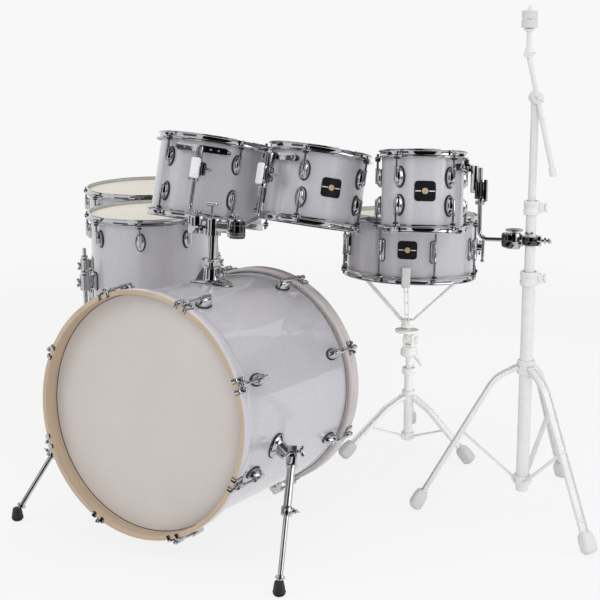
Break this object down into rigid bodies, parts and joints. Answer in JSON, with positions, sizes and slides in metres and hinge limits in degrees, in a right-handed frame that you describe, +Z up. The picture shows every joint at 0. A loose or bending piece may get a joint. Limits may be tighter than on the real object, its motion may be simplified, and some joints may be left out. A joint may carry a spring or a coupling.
{
  "type": "drum kit",
  "caption": "Acoustic drum kit: bass drum on spurs with two rack toms, a third tom on a boom stand, floor toms on legs, and a snare drum on its stand.",
  "frame": {"origin": "on the floor, at the middle of the kit's box in plan", "axes": "+Z up; +X to the right seen from the audience, which is at -Y; the player sits at +Y"},
  "size_m": [1.977, 1.3388, 1.264],
  "materials": {
    "shell_wrap": "silver sparkle wrap, gloss",
    "coated_head": "coated film",
    "front_head": "frosted film",
    "maple_hoop": "natural maple, satin lacquer",
    "pale_hoop": "pale greige lacquer",
    "chrome": "polished",
    "stand_metal": "pale, soft"
  },
  "bodies": {
    "kit": {"bass_batter_head": "coated_head", "bass_batter_hoop": "pale_hoop", "bass_front_head": "front_head", "bass_front_hoop": "maple_hoop", "bass_shell": "shell_wrap", "floor_tom_14_batter_head": "coated_head", "floor_tom_14_batter_hoop": "chrome", "floor_tom_14_resonant_hoop": "chrome", "floor_tom_14_shell": "shell_wrap", "floor_tom_16_batter_head": "coated_head", "floor_tom_16_batter_hoop": "chrome", "floor_tom_16_resonant_hoop": "chrome", "floor_tom_16_shell": "shell_wrap", "snare_stand_base": "stand_metal", "stand_base": "stand_metal", "tom_mount_base": "chrome"},
    "boom": {"boom_arm": "stand_metal"},
    "floor_tom_14_leg_1_rod": {"floor_tom_14_leg_1": "chrome"},
    "floor_tom_14_leg_2_rod": {"floor_tom_14_leg_2": "chrome"},
    "floor_tom_14_leg_3_rod": {"floor_tom_14_leg_3": "chrome"},
    "floor_tom_16_leg_1_rod": {"floor_tom_16_leg_1": "chrome"},
    "floor_tom_16_leg_2_rod": {"floor_tom_16_leg_2": "chrome"},
    "floor_tom_16_leg_3_rod": {"floor_tom_16_leg_3": "chrome"},
    "snare_drum": {"snare_basket": "stand_metal", "snare_batter_head": "coated_head", "snare_batter_hoop": "chrome", "snare_resonant_hoop": "chrome", "snare_shell": "shell_wrap"},
    "strainer_lever": {"snare_lever": "chrome"},
    "snare_stand_top": {"snare_stand_tube": "stand_metal"},
    "snares": {"snare_wires": "chrome"},
    "spur_left_foot": {"spur_left_rod": "chrome"},
    "spur_left_leg": {"spur_left_tube": "chrome"},
    "spur_right_foot": {"spur_right_rod": "chrome"},
    "spur_right_leg": {"spur_right_tube": "chrome"},
    "clamp": {"stand_clamp": "chrome"},
    "stand_middle": {"stand_middle_tube": "stand_metal"},
    "stand_top": {"stand_top_tube": "stand_metal"},
    "tom_10_l_arm": {"tom_10_arm": "chrome"},
    "tom_10_drum": {"tom_10_batter_head": "coated_head", "tom_10_batter_hoop": "chrome", "tom_10_bracket": "chrome", "tom_10_resonant_hoop": "chrome", "tom_10_shell": "shell_wrap"},
    "tom_12_l_arm": {"tom_12_arm": "chrome"},
    "tom_12_drum": {"tom_12_batter_head": "coated_head", "tom_12_batter_hoop": "chrome", "tom_12_bracket": "chrome", "tom_12_resonant_hoop": "chrome", "tom_12_shell": "shell_wrap"},
    "tom_8_l_arm": {"tom_8_arm": "chrome"},
    "tom_8_drum": {"tom_8_batter_head": "coated_head", "tom_8_batter_hoop": "chrome", "tom_8_bracket": "chrome", "tom_8_resonant_hoop": "chrome", "tom_8_shell": "shell_wrap"},
    "holder": {"tom_holder": "chrome"},
    "post": {"tom_post": "chrome"}
  },
  "joints": [
    {"name": "spur_left_fold", "type": "hinge", "parent": "kit", "child": "spur_left_leg", "pos_m": [-0.25924, -0.48146, 0.25], "axis": [-0.9644, 0.2447, 0.1008], "range_deg": [0, 50]},
    {"name": "spur_left_slide", "type": "slide", "parent": "spur_left_leg", "child": "spur_left_foot", "axis": [0.228, 0.5752, 0.7856], "range_m": [0, 0.05]},
    {"name": "spur_right_fold", "type": "hinge", "parent": "kit", "child": "spur_right_leg", "pos_m": [0.37676, -0.48146, 0.25], "axis": [0.9644, 0.2447, 0.1008], "range_deg": [0, 50]},
    {"name": "spur_right_slide", "type": "slide", "parent": "spur_right_leg", "child": "spur_right_foot", "axis": [-0.228, 0.5752, 0.7856], "range_m": [0, 0.05]},
    {"name": "tom_post_height", "type": "slide", "parent": "kit", "child": "post", "axis": [0, 0.0906, 0.9959], "range_m": [-0.01, 0.04]},
    {"name": "tom_holder_turn", "type": "hinge", "parent": "post", "child": "holder", "pos_m": [0.05876, -0.32459, 0.74171], "axis": [0, 0.0906, 0.9959], "range_deg": [-4, 4]},
    {"name": "tom_12_arm_turn", "type": "hinge", "parent": "holder", "child": "tom_12_l_arm", "pos_m": [0.01476, -0.32565, 0.73006], "axis": [-0.7011, 0.701, 0.1308], "range_deg": [-6, 6]},
    {"name": "tom_12_swivel", "type": "hinge", "parent": "tom_12_l_arm", "child": "tom_12_drum", "pos_m": [-0.08014, -0.20129, 0.85091], "axis": [0.028, 0.25, 0.9678], "range_deg": [-8, 8]},
    {"name": "tom_10_arm_turn", "type": "hinge", "parent": "holder", "child": "tom_10_l_arm", "pos_m": [0.12276, -0.32565, 0.73006], "axis": [-0.0566, 0.9953, 0.0792], "range_deg": [-6, 6]},
    {"name": "tom_10_swivel", "type": "hinge", "parent": "tom_10_l_arm", "child": "tom_10_drum", "pos_m": [0.1198, -0.18739, 0.84745], "axis": [0.03, 0.244, 0.9693], "range_deg": [-8, 8]},
    {"name": "stand_height_low", "type": "slide", "parent": "kit", "child": "stand_middle", "axis": [0, 0, 1], "range_m": [-0.03, 0.06]},
    {"name": "stand_height_high", "type": "slide", "parent": "stand_middle", "child": "stand_top", "axis": [0, 0, 1], "range_m": [-0.03, 0.08]},
    {"name": "boom_tilt", "type": "hinge", "parent": "stand_top", "child": "boom", "pos_m": [0.76436, 0.00138, 1.05], "axis": [0.5735, -0.8192, 0], "range_deg": [-20, 30]},
    {"name": "stand_clamp_turn", "type": "hinge", "parent": "stand_middle", "child": "clamp", "pos_m": [0.75376, 0.01654, 0.70376], "axis": [0, 0, 1], "range_deg": [-4, 6]},
    {"name": "tom_8_arm_turn", "type": "hinge", "parent": "clamp", "child": "tom_8_l_arm", "pos_m": [0.71482, 0.00216, 0.70376], "axis": [-0.9381, -0.3463, 0], "range_deg": [-6, 6]},
    {"name": "tom_8_swivel", "type": "hinge", "parent": "tom_8_l_arm", "child": "tom_8_drum", "pos_m": [0.62934, -0.00572, 0.81965], "axis": [-0.072, 0.174, 0.9821], "range_deg": [-8, 8]},
    {"name": "floor_tom_14_leg_1_slide", "type": "slide", "parent": "kit", "child": "floor_tom_14_leg_1_rod", "axis": [0, 0, 1], "range_m": [0, 0.08]},
    {"name": "floor_tom_14_leg_2_slide", "type": "slide", "parent": "kit", "child": "floor_tom_14_leg_2_rod", "axis": [0, 0, 1], "range_m": [0, 0.08]},
    {"name": "floor_tom_14_leg_3_slide", "type": "slide", "parent": "kit", "child": "floor_tom_14_leg_3_rod", "axis": [0, 0, 1], "range_m": [0, 0.08]},
    {"name": "floor_tom_16_leg_1_slide", "type": "slide", "parent": "kit", "child": "floor_tom_16_leg_1_rod", "axis": [0, 0, 1], "range_m": [0, 0.08]},
    {"name": "floor_tom_16_leg_2_slide", "type": "slide", "parent": "kit", "child": "floor_tom_16_leg_2_rod", "axis": [0, 0, 1], "range_m": [0, 0.08]},
    {"name": "floor_tom_16_leg_3_slide", "type": "slide", "parent": "kit", "child": "floor_tom_16_leg_3_rod", "axis": [0, 0, 1], "range_m": [0, 0.08]},
    {"name": "snare_stand_height", "type": "slide", "parent": "kit", "child": "snare_stand_top", "axis": [0, 0, 1], "range_m": [-0.03, 0.01]},
    {"name": "snare_basket_tilt", "type": "hinge", "parent": "snare_stand_top", "child": "snare_drum", "pos_m": [0.31426, 0.26824, 0.33], "axis": [1, 0, 0], "range_deg": [-8, 0]},
    {"name": "snare_lever_throw", "type": "hinge", "parent": "snare_drum", "child": "strainer_lever", "pos_m": [0.49252, 0.34039, 0.58454], "axis": [-0.3827, 0.9206, -0.0777], "range_deg": [0, 70]},
    {"name": "snare_wires_drop", "type": "slide", "parent": "snare_drum", "child": "snares", "axis": [-0.01, 0.08, 0.9967], "range_m": [-0.0022, 0]}
  ],
  "couplings": [
    {"joint": "snare_wires_drop", "follows": "snare_lever_throw", "m_per_rad": -0.0016}
  ]
}
